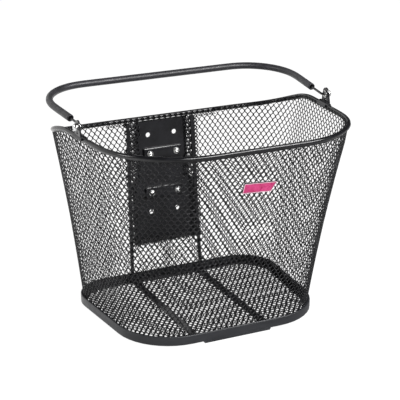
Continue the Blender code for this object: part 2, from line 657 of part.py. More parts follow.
def make_bracket(side, sign):
    """Formed bracket: a saddle over the rim wire and an upright lug with the pivot eye."""
    path = [(sign * rim_side_x(y), y, rim_height(y))
            for y in (PIVOT_Y + SADDLE_HALF * k / 2 for k in range(-2, 3))]
    below = math.radians(12)
    steps = 10
    angles = [-below + (math.pi + 2 * below) * k / steps for k in range(steps + 1)]
    arch = [(SADDLE_OUTER * math.cos(a), SADDLE_OUTER * math.sin(a)) for a in angles]
    arch += [(SADDLE_INNER * math.cos(a), SADDLE_INNER * math.sin(a)) for a in reversed(angles)]
    section = bpy.data.curves.new(f"saddle_section_{side}", 'CURVE')
    section.dimensions = '2D'
    add_spline(section, [(x, y, 0) for x, y in arch], True)
    guide = as_cutter(add_object(section.name, section, None))
    saddle = wire(f"pivot_bracket_{side}", path, 0, None)
    saddle.data.bevel_mode = 'OBJECT'
    saddle.data.bevel_object = guide
    bracket = as_mesh(saddle)
    bracket.data.materials.append(BLACK_COAT)
    foot_half = SADDLE_HALF - 2 * MM
    lift = RIM_RADIUS + GAP + 0.4 * MM
    crown_z = PIVOT_Z + LUG_CROWN
    crown = [(PIVOT_Y + LUG_RADIUS * math.cos(a), crown_z + LUG_RADIUS * math.sin(a))
             for a in (math.pi * (-1 + 8 * k) / 48 for k in range(7))]
    outline = [(PIVOT_Y - foot_half, rim_height(PIVOT_Y - foot_half) + lift),
               (PIVOT_Y + foot_half, rim_height(PIVOT_Y + foot_half) + lift)] + crown
    window_z = rim_height(PIVOT_Y) + RIM_RADIUS + 2.4 * MM
    window = [(PIVOT_Y - 2.6 * MM, window_z), (PIVOT_Y + 2.6 * MM, window_z),
              (PIVOT_Y, window_z + 3.6 * MM)]
    loops = [outline, circle(PIVOT_Y, PIVOT_Z, EYE_HOLE), window]
    lug = as_mesh(flat_piece(f"bracket_lug_{side}", loops, LUG_THICK, None))
    place(lug, move(sign * LUG_X, 0, 0) @ FLAT_TO_YZ)
    boolean(bracket, lug, 'UNION')


def handle_path():
    """Right half of the handle's middle line from the pivot end, in the handle's own frame."""
    wire_end = LUG_X + LUG_THICK / 2 + GAP + WASHER_THICK + GAP + CAP_DEPTH - CAP_WALL - GAP
    arm_x = LUG_X - LUG_THICK / 2 - 3 * GAP - WASHER_THICK - END_BEND
    steps = 5
    bend = [Vector((arm_x + END_BEND * (1 - math.sin(a)), END_BEND * (1 - math.cos(a)), 0))
            for a in (math.radians(90) * k / steps for k in range(steps + 1))]
    arc = corner_arc(Vector((arm_x, END_BEND)), Vector((HANDLE_HALF, HANDLE_REACH)),
                     Vector((0, HANDLE_REACH)), HANDLE_CORNER, CORNER_STEPS)
    corner = [Vector((p.x, p.y, 0)) for p in arc]
    return [Vector((wire_end, 0, 0))] + bend, corner


def mirrored(points):
    return [Vector((-p.x, p.y, p.z)) for p in points]


def make_handle():
    """Bent wire with a sleeve over it; the wire's ends pass through the bracket eyes."""
    pivot = add_empty("handle_pivot", move(0, PIVOT_Y, PIVOT_Z) @ Matrix.Rotation(HANDLE_LIFT, 4, 'X'))
    end, corner = handle_path()
    right = end + corner
    path = mirrored(right) + right[::-1]
    place(wire("handle_wire", path, HANDLE_WIRE_RADIUS, BLACK_COAT), Matrix(), pivot)
    arm_start, arm_end = end[-1], corner[0]
    sleeve_end = arm_start.lerp(arm_end, (SLEEVE_START - arm_start.y) / (arm_end.y - arm_start.y))
    covered = [sleeve_end] + corner
    sleeve = wire("handle_sleeve", mirrored(covered) + covered[::-1], SLEEVE_RADIUS, BLACK_VINYL,
                  caps=False)
    tube = sleeve.modifiers.new("tube", 'SOLIDIFY')
    tube.thickness = SLEEVE_WALL
    tube.offset = -1
    place(sleeve, Matrix(), pivot)
    for side, sign in (("left", -1), ("right", 1)):
        make_handle_hardware(side, sign, pivot)


def make_handle_hardware(side, sign, pivot):
    """Washers on both sides of the bracket eye, and the cap pressed on the wire's end."""
    outward = Matrix.Rotation(sign * math.radians(90), 4, 'Y')     # local Z points away from the lug
    reach = LUG_THICK / 2 + GAP
    washer_loops = [circle(0, 0, HANDLE_WASHER_RADIUS), circle(0, 0, EYE_HOLE)]
    for place_name, offset in (("inner", -reach - WASHER_THICK / 2), ("outer", reach + WASHER_THICK / 2)):
        washer = flat_piece(f"handle_washer_{place_name}_{side}", washer_loops, WASHER_THICK, ZINC)
        place(washer, move(sign * (LUG_X + offset), 0, 0) @ outward, pivot)
    inner = HANDLE_WIRE_RADIUS + GAP
    ceiling = CAP_DEPTH - CAP_WALL
    profile = [(0, CAP_DEPTH), (0.55 * CAP_RADIUS, 0.93 * CAP_DEPTH), (0.85 * CAP_RADIUS, 0.68 * CAP_DEPTH),
               (CAP_RADIUS, 0.3 * CAP_DEPTH), (CAP_RADIUS, 0), (inner, 0), (inner, ceiling), (0, ceiling)]
    cap = turned_piece(f"handle_cap_{side}", profile, ZINC)
    base = LUG_X + reach + WASHER_THICK + GAP
    place(cap, move(sign * base, 0, 0) @ outward, pivot)


make_rim()
make_base_ring()
make_floor()
make_floor_stays()
make_badge(make_wall())
make_back_assembly()
for side_name, side_sign in (("left", -1), ("right", 1)):
    make_bracket(side_name, side_sign)
make_handle()
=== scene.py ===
"""Looks of the wire-mesh handlebar basket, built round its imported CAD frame."""
import json
import math

import bpy
import numpy as np
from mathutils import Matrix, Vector
from mathutils.bvhtree import BVHTree


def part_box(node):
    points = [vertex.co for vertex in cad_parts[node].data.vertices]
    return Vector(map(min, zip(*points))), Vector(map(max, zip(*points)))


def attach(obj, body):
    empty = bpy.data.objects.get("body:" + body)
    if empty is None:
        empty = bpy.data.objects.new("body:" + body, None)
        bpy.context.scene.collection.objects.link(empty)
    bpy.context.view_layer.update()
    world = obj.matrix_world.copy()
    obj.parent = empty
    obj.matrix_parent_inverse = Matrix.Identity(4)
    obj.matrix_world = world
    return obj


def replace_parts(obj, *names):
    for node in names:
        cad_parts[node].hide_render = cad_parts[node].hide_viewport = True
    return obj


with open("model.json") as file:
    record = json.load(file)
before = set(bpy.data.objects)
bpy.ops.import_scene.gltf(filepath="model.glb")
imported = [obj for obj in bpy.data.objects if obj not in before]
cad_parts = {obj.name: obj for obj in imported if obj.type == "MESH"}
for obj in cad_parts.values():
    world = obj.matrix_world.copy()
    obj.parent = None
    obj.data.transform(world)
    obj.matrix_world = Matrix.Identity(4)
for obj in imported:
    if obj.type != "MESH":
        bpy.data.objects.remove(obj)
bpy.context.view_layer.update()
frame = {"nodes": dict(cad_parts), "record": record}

MM = 0.001
NODES = frame["nodes"]
NUDGE = 0.1 * MM                   # step past a face that a ray has just hit

# Expanded metal: a honeycomb of strands joined by short upright bonds
COLUMN = 7.1 * MM                  # hole to hole across, at half height
ROW = 10.1 * MM                    # hole to hole up the wall
BOND_HALF = 0.75 * MM              # half length of a bond
BOND_WIDTH_HALF = 1.0 * MM
STRAND_HALF = 0.62 * MM            # half width of a strand
STRAND_THICK = 1.3 * MM
TWIST = 0.15 * MM                  # how far a strand's edges leave the sheet's middle
SKEW = -0.05                       # sideways lean of the columns, per unit of height
FLOOR_COLUMN = 7.3 * MM
FLOOR_ROW = 10.2 * MM
FLOOR_STRAND_HALF = 1.45 * MM
FLOOR_EDGE = 1 * MM                # the middles of the floor's cells are more than this inside it

# Wall: where the mesh is doubled, folded or flattened
LAYER_GAP = 1.2 * MM               # middle to middle of two mesh layers that lie together
FOLD_STRAND_HALF = 1.6 * MM        # strands look this wide where the mesh is folded flat
BACK_DEPTH = 40 * MM               # the back is the part of the wall this near its rear end
BACK_END = 0.17                    # where the back ends, in turns from its middle
BACK_BLEND = 0.03                  # turns over which the back's edges change into the others
WINDOW_LAP = 3.5 * MM              # overlap of the plate on the mesh round the window
UPRIGHT_LAP = 1 * MM               # the fold beside the window reaches this far past the uprights
SEAM_HALF = 4 * MM                 # half width of the seam below the plate
BACK_FOLD_HALF = 78 * MM           # half length of the fold under the rim beside the plate
BACK_FOLD_HEIGHT = 4 * MM
FOOT_TRIM = 0.3 * MM               # the strands end this far above the foot of the wall
LAP_HEIGHT = 3.4 * MM              # how far the strands' ends climb the inside of the rim wire
BACK_LAP_HEIGHT = 5.4 * MM         # and how far they do along the back
HEM_HEIGHT = 1.5 * MM              # flattened edge of the mesh under the rim wire
HEM_OVERLAP = 0.8 * MM             # and its part inside the wire
HEM_THICK = 1.5 * MM
HEM_SIDES = 12
HEM_SQUARENESS = 1.35              # 1 gives an oval section, more a squarer one

# Reading the CAD wall
RING_SAMPLES = 720
LOW_RING_LIFT = 0.2 * MM           # the low ring is this far above the base ring
HIGH_RING_DROP = 1 * MM            # the high ring is this far below the plate's top
RIM_CLEARANCE = 1 * MM             # the bulge is read up to this far below the rim wire
BULGE_LEVELS = 12
BULGE_LIMIT = 5 * MM
FACING = 0.9                       # least cosine between a wall face and the wall's normal
PLATE_INSET = 10 * MM              # the plate's widths are read this far from its ends and step
PLATE_STEP = 3 * MM                # the plate counts as narrow where its half width drops this much
PLATE_TOLERANCE = 0.5 * MM         # how closely the height of that step is found

# Tubes
TRACE_STEP = 1 * MM                # distance between traced points of a tube's middle line
TRACE_REACH = 12 * MM              # more than any tube's radius
TRACE_SPOKES = 16
CENTRING_ROUNDS = 4
LOOP_POINTS = 20                   # a line has more points than this before it can close
TUBE_SIDES = 20
RIM_START = 2.2 * MM               # from the rim wire's front and top to a point inside it
HANDLE_START = 1.2 * MM            # from the handle wire's back and top to a point inside it
WIDE_SMOOTHING = 21                # points averaged on the rim and the sleeve
ROD_SMOOTHING = 3                  # and on the handle wire, which has tight bends
RIM_STRIDE = 3                     # every third point of the line is kept
SLEEVE_STRIDE = 2
SLEEVE_LIP = 0.4 * MM              # rounding of the sleeve's ends

# Finish and stage
NOISE_SPREAD = (0.35, 0.65)        # noise values where a material's variation starts and ends
WELD_GAP = 0.01 * MM
CREASE_ANGLE = math.radians(35)
BADGE_BORDER_STEP = 0.2 * MM       # the badge's border stands more than this above its face
FLOOR_DROP = 0.2 * MM              # keeps the studio floor clear of the base ring's feet


# ---------------------------------------------------------------- materials

class Finish:
    """A procedural material: its node tree and its shader."""

    def __init__(self, name):
        self.material = bpy.data.materials.new(name)
        self.material.use_nodes = True
        self.nodes = self.material.node_tree.nodes
        self.links = self.material.node_tree.links
        self.shader = self.nodes["Principled BSDF"]

    def set(self, name, value):
        self.shader.inputs[name].default_value = value

    def noise(self, scale, detail=3.0, stretch=(1, 1, 1)):
        """Noise in object space, scale in features per metre; stretch scales the axes."""
        texture = self.nodes.new("ShaderNodeTexNoise")
        texture.inputs["Scale"].default_value = scale
        texture.inputs["Detail"].default_value = detail
        coordinates = self.nodes.new("ShaderNodeTexCoord")
        mapping = self.nodes.new("ShaderNodeMapping")
        mapping.inputs["Scale"].default_value = stretch
        self.links.new(coordinates.outputs["Object"], mapping.inputs["Vector"])
        self.links.new(mapping.outputs["Vector"], texture.inputs["Vector"])
        return texture.outputs["Fac"]

    def vary(self, name, value, low, high):
        """Spread an input between two colours, or two grey levels given as numbers."""
        ramp = self.nodes.new("ShaderNodeValToRGB")
        for element, position, color in zip(ramp.color_ramp.elements, NOISE_SPREAD, (low, high)):
            element.position = position
            element.color = (color, color, color, 1) if isinstance(color, float) else (*color, 1)
        self.links.new(value, ramp.inputs["Fac"])
        self.links.new(ramp.outputs["Color"], self.shader.inputs[name])

    def bump(self, height, distance, strength, below=None):
        """Relief of the surface, on top of the relief below. Returns its normal."""
        node = self.nodes.new("ShaderNodeBump")
        node.inputs["Distance"].default_value = distance
        node.inputs["Strength"].default_value = strength
        self.links.new(height, node.inputs["Height"])
        if below is not None:
            self.links.new(below, node.inputs["Normal"])
        self.links.new(node.outputs["Normal"], self.shader.inputs["Normal"])
        return node.outputs["Normal"]


def powder_coat(name, dark, light, rough, coat):
    """Black powder coat: faint orange peel, uneven gloss and slightly greyer patches."""
    finish = Finish(name)
    finish.vary("Base Color", finish.noise(60), dark, light)
    finish.vary("Roughness", finish.noise(180), *rough)
    orange_peel = finish.bump(finish.noise(900, 2), 0.04 * MM, 0.4)
    finish.bump(finish.noise(4000, 1), 0.008 * MM, 0.4, below=orange_peel)
    finish.set("Coat Weight", coat)
    finish.set("Coat Roughness", 0.13)
    finish.set("Specular IOR Level", 0.15)
    return finish.material


def moulded_plastic(name, dark, light):
    """Moulded black plastic: fine spark-eroded grain, uneven gloss and faint flow marks."""
    finish = Finish(name)
    finish.vary("Base Color", finish.noise(25, 4, stretch=(1, 1, 5)), dark, light)
    finish.vary("Roughness", finish.noise(90), 0.32, 0.46)
    grain = finish.nodes.new("ShaderNodeTexVoronoi")
    grain.inputs["Scale"].default_value = 1600
    coordinates = finish.nodes.new("ShaderNodeTexCoord")
    finish.links.new(coordinates.outputs["Object"], grain.inputs["Vector"])
    finish.bump(grain.outputs["Distance"], 0.03 * MM, 0.5)
    return finish.material


def vinyl(name):
    """Soft black tube: satin sheen, fine streaks along the crossbar and uneven gloss."""
    finish = Finish(name)
    streaks = finish.noise(120, 4, stretch=(0.06, 1, 1))
    finish.vary("Base Color", streaks, (0.014, 0.014, 0.017), (0.028, 0.027, 0.033))
    finish.vary("Roughness", finish.noise(150), 0.36, 0.5)
    finish.bump(streaks, 0.05 * MM, 0.4)
    finish.set("Sheen Weight", 0.1)
    return finish.material


def zinc(name):
    """Bright zinc plate: cool with faint warm patches, finely grained, dulled in places."""
    finish = Finish(name)
    finish.vary("Base Color", finish.noise(300), (0.88, 0.89, 0.91), (0.78, 0.77, 0.73))
    finish.vary("Roughness", finish.noise(700), 0.2, 0.38)
    finish.set("Metallic", 1.0)
    finish.bump(finish.noise(2500, 2), 0.02 * MM, 0.5)
    return finish.material


def badge_enamel(name, dark, light, rough):
    """Glossy coloured badge face with a slight mottle."""
    finish = Finish(name)
    finish.vary("Base Color", finish.noise(140), dark, light)
    finish.vary("Roughness", finish.noise(400), rough, rough + 0.1)
    finish.bump(finish.noise(1500), 0.01 * MM, 0.4)
    finish.set("Coat Weight", 0.5)
    return finish.material


MATERIALS = {
    "black_coat": powder_coat("powder_coat", dark=(0.005, 0.005, 0.006),
                              light=(0.010, 0.010, 0.012), rough=(0.28, 0.4), coat=0.8),
    "strand_coat": powder_coat("strand_coat", dark=(0.010, 0.010, 0.011),
                               light=(0.020, 0.020, 0.022), rough=(0.3, 0.45), coat=0.3),
    "black_plastic": moulded_plastic("moulded_plastic", dark=(0.016, 0.017, 0.020),
                                     light=(0.027, 0.028, 0.032)),
    "vinyl_sleeve": vinyl("vinyl"),
    "zinc": zinc("zinc_plate"),
    "badge_pink": badge_enamel("badge_face", dark=(0.46, 0.02, 0.12),
                               light=(0.60, 0.05, 0.20), rough=0.25),
    "badge_border": badge_enamel("badge_border", dark=(0.78, 0.45, 0.56),
                                 light=(0.86, 0.55, 0.64), rough=0.3),
}


# ---------------------------------------------------------------- new pieces

def smooth_mesh(name, vertices, faces):
    mesh = bpy.data.meshes.new(name)
    mesh.from_pydata(vertices.tolist(), [], faces)
    mesh.validate()
    mesh.shade_smooth()
    return mesh


def add_piece(mesh, body, material):
    """New visible piece on a body, with its finish. It takes its mesh's name."""
    piece = bpy.data.objects.new(mesh.name, mesh)
    bpy.context.scene.collection.objects.link(piece)
    mesh.materials.append(MATERIALS[material])
    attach(piece, body)
    return piece


# ---------------------------------------------------------------- reading the CAD pieces

def tree_of(node):
    mesh = NODES[node].data
    return BVHTree.FromPolygons([vertex.co.copy() for vertex in mesh.vertices],
                                [tuple(face.vertices) for face in mesh.polygons])


class WallSurface:
    """The middle of the wall: straight lines from the base ring's top to the rim wire, the CAD
    wall's distance outside them, and the upright foot of the wall inside the ring. A place on it
    is a fraction of a turn from the middle of the back, and a distance up from the low ring."""

    def __init__(self):
        wall = tree_of("wall_mesh")
        self.low = self.ring(wall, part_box("base_ring")[1].z + LOW_RING_LIFT)
        high = self.ring(wall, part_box("back_plate")[1].z - HIGH_RING_DROP)
        rise = high - self.low
        self.along = rise / np.linalg.norm(rise, axis=1)[:, None]
        tangent = np.roll(self.low, -1, 0) - np.roll(self.low, 1, 0)
        normal = np.cross(self.along, tangent)
        self.normal = normal / np.linalg.norm(normal, axis=1)[:, None]
        halfway = (self.low + high) / 2
        self.perimeter = float(np.linalg.norm(np.diff(halfway, axis=0), axis=1).sum())
        self.rim_distance = self.find_rim()
        self.bulge_levels = np.linspace(0, float(self.rim_distance.max()), BULGE_LEVELS)
        self.bulge = self.find_bulge(wall)
        self.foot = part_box("wall_mesh")[0].z - self.low[0][2]

    def ring(self, wall, height):
        """Points evenly spaced round the wall's middle at one height, from the middle of the back."""
        points = []
        for k in range(RING_SAMPLES):
            angle = math.tau * k / RING_SAMPLES
            outward = Vector((math.sin(angle), math.cos(angle), 0))
            inner = wall.ray_cast(Vector((0, 0, height)), outward)[0]
            outer = wall.ray_cast(inner + outward * NUDGE, outward)[0]
            points.append((inner + outer) / 2)
        loop = np.array([tuple(point) for point in points + points[:1]])
        steps = np.linalg.norm(np.diff(loop, axis=0), axis=1)
        length = np.concatenate([[0], np.cumsum(steps)])
        even = np.linspace(0, length[-1], RING_SAMPLES, endpoint=False)
        return np.stack([np.interp(even, length, loop[:, axis]) for axis in range(3)], axis=1)

    def find_rim(self):
        """Distance up each line from the low ring to the rim wire."""
        rim = tree_of("rim_wire")
        hits = [rim.ray_cast(Vector(start), Vector(direction))
                for start, direction in zip(self.low, self.along)]
        distance = np.array([np.nan if hit[0] is None else hit[3] for hit in hits])
        found = ~np.isnan(distance)
        index = np.arange(RING_SAMPLES)
        return np.interp(index, index[found], distance[found], period=RING_SAMPLES)

    def find_bulge(self, wall):
        """How far the CAD wall's middle lies outside the straight lines, on a grid."""
        bulge = np.zeros((RING_SAMPLES, BULGE_LEVELS))
        half = self.thickness(wall) / 2
        for k in range(RING_SAMPLES):
            outward = Vector(self.normal[k])
            highest = self.rim_distance[k] - RIM_CLEARANCE
            for j, level in enumerate(self.bulge_levels[1:-1], 1):
                point = Vector(self.low[k] + self.along[k] * min(level, highest))
                near, face_normal, _, _ = wall.find_nearest(point)
                facing = face_normal.dot(outward)
                if abs(facing) > FACING:
                    side = math.copysign(1, facing)
                    bulge[k, j] = (near - outward * side * half - point).dot(outward)
        return np.clip(bulge, -BULGE_LIMIT, BULGE_LIMIT)

    def thickness(self, wall):
        """Wall thickness on the right side, at the height of the low ring."""
        right = Vector((1, 0, 0))
        inner = wall.ray_cast(Vector((0, 0, self.low[0][2])), right)[0]
        outer = wall.ray_cast(inner + right * NUDGE, right)[0]
        return (outer - inner).length

    def sample(self, table, turn):
        """Values of a table at fractions of a turn, interpolated."""
        position = (turn % 1.0) * RING_SAMPLES
        index = np.floor(position).astype(int) % RING_SAMPLES
        share = position - np.floor(position)
        share = share[:, None] if table.ndim > 1 else share
        return table[index] * (1 - share) + table[(index + 1) % RING_SAMPLES] * share

    def rim_edge(self, turn):
        return self.sample(self.rim_distance, turn)

    def locate(self, turn, up, inward):
        """Points and outward normals at fractions of a turn and distances up the wall; below 0
        the wall stands upright inside the base ring."""
        normal = self.sample(self.normal, turn)
        rows = self.sample(self.bulge, turn)
        level = np.clip(up / self.bulge_levels[1], 0, BULGE_LEVELS - 1.001)
        below = np.floor(level).astype(int)
        share = level - below
        index = np.arange(len(turn))
        bulge = rows[index, below] * (1 - share) + rows[index, below + 1] * share
        line = self.sample(self.along, turn) * np.maximum(up, 0)[:, None]
        point = self.sample(self.low, turn) + line
        point[:, 2] += np.minimum(up, 0)
        return point + normal * (bulge - inward)[:, None], normal


def plate_half_width(plate, height):
    """Half width of the back plate at a height, by a ray from its right side."""
    low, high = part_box("back_plate")
    middle_y = low.y + (high.y - low.y) * (height - low.z) / (high.z - low.z)
    start = Vector((high.x + PLATE_INSET, middle_y, height))
    return plate.ray_cast(start, Vector((-1, 0, 0)))[0].x


def plate_step_height(plate):
    """Height at which the back plate becomes narrower, found by halving."""
    low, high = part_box("back_plate")
    below, above = low.z + PLATE_INSET, high.z - PLATE_INSET
    wide = plate_half_width(plate, below)
    while above - below > PLATE_TOLERANCE:
        middle = (above + below) / 2
        if plate_half_width(plate, middle) > wide - PLATE_STEP:
            below = middle
        else:
            above = middle
    return above


# ---------------------------------------------------------------- tubes

def section_middle(tree, point, heading):
    """Middle and radius of a tube's section through a point inside it, or None outside it. Each
    round starts from the middle that the one before it found, which brings it nearer."""
    side = heading.orthogonal().normalized()
    up = heading.cross(side).normalized()
    angles = [math.tau * k / TRACE_SPOKES for k in range(TRACE_SPOKES)]
    spokes = [side * math.cos(angle) + up * math.sin(angle) for angle in angles]
    middle = point
    for _ in range(CENTRING_ROUNDS):
        hits = [tree.ray_cast(middle, spoke, TRACE_REACH)[0] for spoke in spokes]
        if any(hit is None for hit in hits):
            return None
        middle = sum(hits, Vector()) / len(hits)
    return middle, max((hit - middle).length for hit in hits)


def trace_tube(tree, start, heading):
    """Points on a tube's middle line, from a point inside it until the tube ends or closes on
    itself, and the tube's radius at the start."""
    point, radius = section_middle(tree, start, heading)
    points = [point]
    while True:
        end = tree.ray_cast(points[-1], heading, TRACE_STEP)[0]
        if end is not None:
            return points + [end], radius
        found = section_middle(tree, points[-1] + heading * TRACE_STEP, heading)
        if found is None:
            return points, radius
        heading = (found[0] - points[-1]).normalized()
        points.append(found[0])
        if len(points) > LOOP_POINTS and (points[-1] - points[0]).length < TRACE_STEP:
            return points[:-1], radius


def trace_both_ways(tree, start):
    """Middle line of an open tube from its left to its right end, from a point inside it, and
    the tube's radius there."""
    right, radius = trace_tube(tree, start, Vector((1, 0, 0)))
    left, _ = trace_tube(tree, start, Vector((-1, 0, 0)))
    return left[:0:-1] + right, radius


def smooth_line(points, window, closed=False):
    """Moving average along a line, which rounds the small corners of the CAD pieces."""
    line = np.array([tuple(point) for point in points])
    half = window // 2
    if closed:
        padded = np.concatenate([line[-half:], line, line[:half]])
    else:
        before = 2 * line[0] - line[half:0:-1]
        after = 2 * line[-1] - line[-2:-half - 2:-1]
        padded = np.concatenate([before, line, after])
    weights = np.ones(window) / window
    return np.stack([np.convolve(padded[:, axis], weights, "valid") for axis in range(3)], axis=1)


def add_lips(line, lip):
    """Line with one more point near each of its ends, at a lip's distance from it."""
    first_step, last_step = line[1] - line[0], line[-2] - line[-1]
    first = line[0] + first_step * lip / np.linalg.norm(first_step)
    last = line[-1] + last_step * lip / np.linalg.norm(last_step)
    return np.concatenate([line[:1], [first], line[1:-1], [last], line[-1:]])


def tube_rings(line, radius, closed=False):
    """Rings of points round a line that never runs upright; radius is one number or one a point."""
    ahead = np.roll(line, -1, 0) - np.roll(line, 1, 0) if closed else np.gradient(line, axis=0)
    ahead /= np.linalg.norm(ahead, axis=1)[:, None]
    side = np.cross(ahead, (0, 0, 1))
    side /= np.linalg.norm(side, axis=1)[:, None]
    up = np.cross(ahead, side)
    angle = (np.arange(TUBE_SIDES) / TUBE_SIDES * math.tau)[:, None]
    circles = side[:, None] * np.cos(angle) + up[:, None] * np.sin(angle)
    return line[:, None] + circles * np.broadcast_to(radius, len(line))[:, None, None]


def faces_between(here, ahead, sides):
    """Faces that join two rings of points, given by the number of each ring's first point."""
    faces = []
    for k in range(sides):
        after = (k + 1) % sides
        faces.append((here + k, here + after, ahead + after, ahead + k))
    return faces


def closed_mesh(name, rings):
    """Closed surface through rings of points, with the last ring joined to the first."""
    count, sides = rings.shape[:2]
    faces = []
    for ring in range(count):
        faces += faces_between(ring * sides, (ring + 1) % count * sides, sides)
    return smooth_mesh(name, rings.reshape(-1, 3), faces)


def capped_mesh(name, rings):
    """Closed surface through rings of points, with a flat cap on the first and the last."""
    count, sides = rings.shape[:2]
    faces = []
    for ring in range(count - 1):
        faces += faces_between(ring * sides, (ring + 1) * sides, sides)
    faces.append(tuple(reversed(range(sides))))
    faces.append(tuple(range((count - 1) * sides, count * sides)))
    return smooth_mesh(name, rings.reshape(-1, 3), faces)


def build_rim():
    """Rim wire as a smooth round ring along the CAD wire's middle line. Returns its radius."""
    low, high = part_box("rim_wire")
    start = Vector((0, low.y + RIM_START, high.z - RIM_START))
    points, radius = trace_tube(tree_of("rim_wire"), start, Vector((1, 0, 0)))
    line = smooth_line(points, WIDE_SMOOTHING, closed=True)[::RIM_STRIDE]
    mesh = closed_mesh("rim_tube", tube_rings(line, radius, closed=True))
    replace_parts(add_piece(mesh, "basket", "black_coat"), "rim_wire")
    return radius


def build_handle():
    """Handle wire as a round rod, and its sleeve as a hollow tube with softened lips."""
    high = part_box("handle_wire")[1]
    start = Vector((0, high.y - HANDLE_START, high.z - HANDLE_START))
    points, radius = trace_both_ways(tree_of("handle_wire"), start)
    rod = capped_mesh("handle_rod", tube_rings(smooth_line(points, ROD_SMOOTHING), radius))
    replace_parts(add_piece(rod, "handle", "black_coat"), "handle_wire")
    points, bore = trace_both_ways(tree_of("handle_sleeve"), start)
    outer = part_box("handle_sleeve")[1].y - points[len(points) // 2].y
    line = add_lips(smooth_line(points, WIDE_SMOOTHING)[::SLEEVE_STRIDE], SLEEVE_LIP)
    radii = np.full(len(line), outer)
    radii[[0, -1]] -= SLEEVE_LIP
    rings = np.concatenate([tube_rings(line, radii), tube_rings(line, bore)[::-1]])
    grip = closed_mesh("handle_grip", rings)
    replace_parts(add_piece(grip, "handle", "vinyl_sleeve"), "handle_sleeve")


# ---------------------------------------------------------------- expanded metal

def hole_shape(column, row, strand):
    """Outer and hole corners of one cell, anticlockwise from its top, as fractions of the pitches;
    strand is half a strand's width."""
    outer_top = row / 2 - BOND_HALF
    slope = (outer_top - BOND_HALF) / (column / 2)
    hole_top = outer_top - strand * math.hypot(1, slope)
    hole_side = column / 2 - BOND_WIDTH_HALF
    hole_shoulder = hole_top - slope * hole_side
    outer = [(0, outer_top), (-column / 2, BOND_HALF), (-column / 2, -BOND_HALF), (0, -outer_top),
             (column / 2, -BOND_HALF), (column / 2, BOND_HALF)]
    hole = [(0, hole_top), (-hole_side, hole_shoulder), (-hole_side, -hole_shoulder),
            (0, -hole_top), (hole_side, -hole_shoulder), (hole_side, hole_shoulder)]
    return [np.array(corners) / (column, row) for corners in (outer, hole)]


def share_corners(cells, outer, wrap):
    """Outer corners of all cells without repeats, and each cell's six as indices into them.
    Corners are the same if they agree to a hundredth of a column and a thousandth of a row."""
    index_of, corners, rings = {}, [], []
    for column, row in cells:
        ring = []
        for across, up in outer:
            corner = (column + across, row + up)
            column_key = round(corner[0] * 100)
            if wrap:
                column_key %= wrap * 100
            key = (column_key, round(corner[1] * 1000))
            if key not in index_of:
                index_of[key] = len(corners)
                corners.append(corner)
            ring.append(index_of[key])
        rings.append(ring)
    return np.array(corners), rings


def strand_faces(rings, count):
    """Faces on both sides between each cell's outer corners and its hole, and along the sheet's
    own edges. Vertices are count front corners, count back corners, then six for each hole."""
    faces, uses = [], {}
    for cell, ring in enumerate(rings):
        hole = 2 * count + cell * 6
        for k in range(6):
            after = (k + 1) % 6
            here, ahead = ring[k], ring[after]
            faces.append((here, ahead, hole + after, hole + k))
            faces.append((hole + k, hole + after, count + ahead, count + here))
            uses.setdefault((min(here, ahead), max(here, ahead)), []).append((here, ahead))
    for pairs in uses.values():
        if len(pairs) == 1:
            here, ahead = pairs[0]
            faces.append((ahead, here, count + here, count + ahead))
    return faces


def expanded_metal(name, cells, shape, locate, wrap=None):
    """Mesh sheet of strands. cells are (column, row) centres; locate(columns, rows, is_hole) gives
    points and normals; wrap is the number of columns after which the sheet closes on itself."""
    outer, hole = shape
    corners, rings = share_corners(cells, outer, wrap)
    points, normals = locate(corners[:, 0], corners[:, 1], False)
    half_thick = normals * STRAND_THICK / 2
    holes = (cells[:, None, :] + hole[None]).reshape(-1, 2)
    hole_points, hole_normals = locate(holes[:, 0], holes[:, 1], True)
    twist = np.tile(hole[:, 1] / abs(hole[:, 1]).max(), len(cells)) * TWIST
    hole_points = hole_points + hole_normals * twist[:, None]
    vertices = np.concatenate([points + half_thick, points - half_thick, hole_points])
    mesh = smooth_mesh(name, vertices, strand_faces(rings, len(corners)))
    return add_piece(mesh, "basket", "strand_coat")


def lattice(first_row, last_row, columns):
    """(column, row) centres of staggered cells: half a row apart, every second line of them half
    a column further across."""
    return np.array([(column + half_row % 2 / 2, half_row / 2)
                     for half_row in range(2 * first_row, 2 * last_row + 1)
                     for column in range(columns)])


def wall_sheet(name, surface, inside, low_edge, high_edge, inward=0.0, shift=0.0,
               strand=STRAND_HALF):
    """Expanded metal on the wall where inside(points) holds, trimmed between two edges that are
    functions of the turn and give distances up the wall."""
    columns = round(surface.perimeter / COLUMN)
    start = surface.foot - ROW / 2

    def turn_and_height(column, row):
        up = start + row * ROW
        return (column + shift) / columns + SKEW * up / surface.perimeter, up

    def locate(column, row, is_hole):
        turn, up = turn_and_height(column, row)
        margin = STRAND_HALF if is_hole else 0.0
        up = np.clip(up, low_edge(turn) + margin, high_edge(turn) - margin)
        return surface.locate(turn, up, inward)

    rows = math.ceil((surface.rim_distance.max() - start) / ROW)
    cells = lattice(0, rows, columns)
    shape = hole_shape(COLUMN, ROW, strand)
    turn, up = turn_and_height(cells[:, 0], cells[:, 1])
    hole_top = shape[1][0][1] * ROW
    reach = hole_top - 2 * STRAND_HALF
    keep = (up - reach < high_edge(turn)) & (up + reach > low_edge(turn))
    centre, _ = surface.locate(turn, np.clip(up, low_edge(turn), high_edge(turn)), 0.0)
    keep &= inside(centre)
    return expanded_metal(name, cells[keep], shape, locate, wrap=columns)


# ---------------------------------------------------------------- wall and floor

